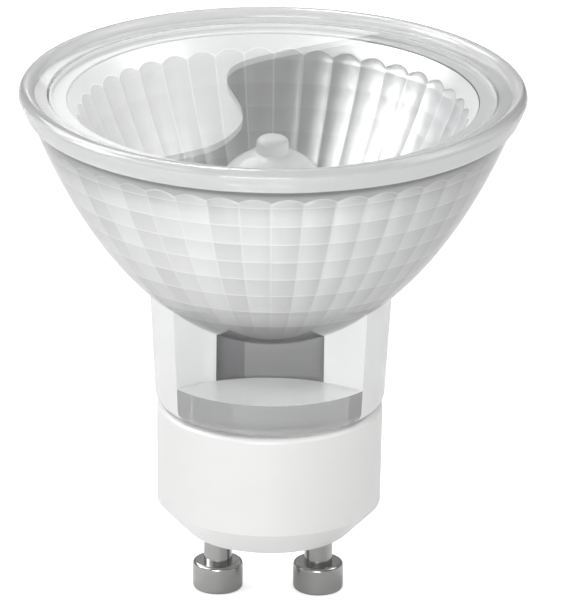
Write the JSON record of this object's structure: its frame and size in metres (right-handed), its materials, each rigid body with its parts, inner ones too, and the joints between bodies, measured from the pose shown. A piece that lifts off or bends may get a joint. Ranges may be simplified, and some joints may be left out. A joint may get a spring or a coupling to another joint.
{
  "type": "gu10 spotlight bulb",
  "caption": "Mains halogen spotlight bulb: faceted glass reflector with a flat cover glass, a capsule in its neck, a white ceramic base and mushroom-headed twist-lock pins.",
  "frame": {"origin": "on the lamp axis, in the plane of the flat foot of the ceramic base", "axes": "+Z along the lamp axis towards the cover glass, +X along the line of the contact pins"},
  "size_m": [0.05, 0.05, 0.0529],
  "materials": {
    "reflector_glass": "clear pressed glass, mirror film on the inside",
    "cover_glass": "clear flat glass",
    "clear_sealant": "translucent sealant",
    "quartz": "clear fused quartz",
    "tungsten": "dull grey coil",
    "wire": "drawn wire",
    "foil": "thin bright foil",
    "cement": "dry white cement",
    "ceramic": "white glaze",
    "contact_metal": "bright nickel plate"
  },
  "bodies": {
    "root": {"reflector": "reflector_glass", "cover_glass": "cover_glass", "cover_seal": "clear_sealant", "capsule_envelope": "quartz", "filament": "tungsten", "filament_lead_lower": "wire", "filament_lead_upper": "wire", "seal_foil_left": "foil", "seal_foil_right": "foil", "lead_wire_left": "wire", "lead_wire_right": "wire", "capsule_cement": "cement", "base_cement": "cement", "base_cap": "ceramic", "contact_pin_left": "contact_metal", "contact_pin_right": "contact_metal"}
  },
  "joints": []
}
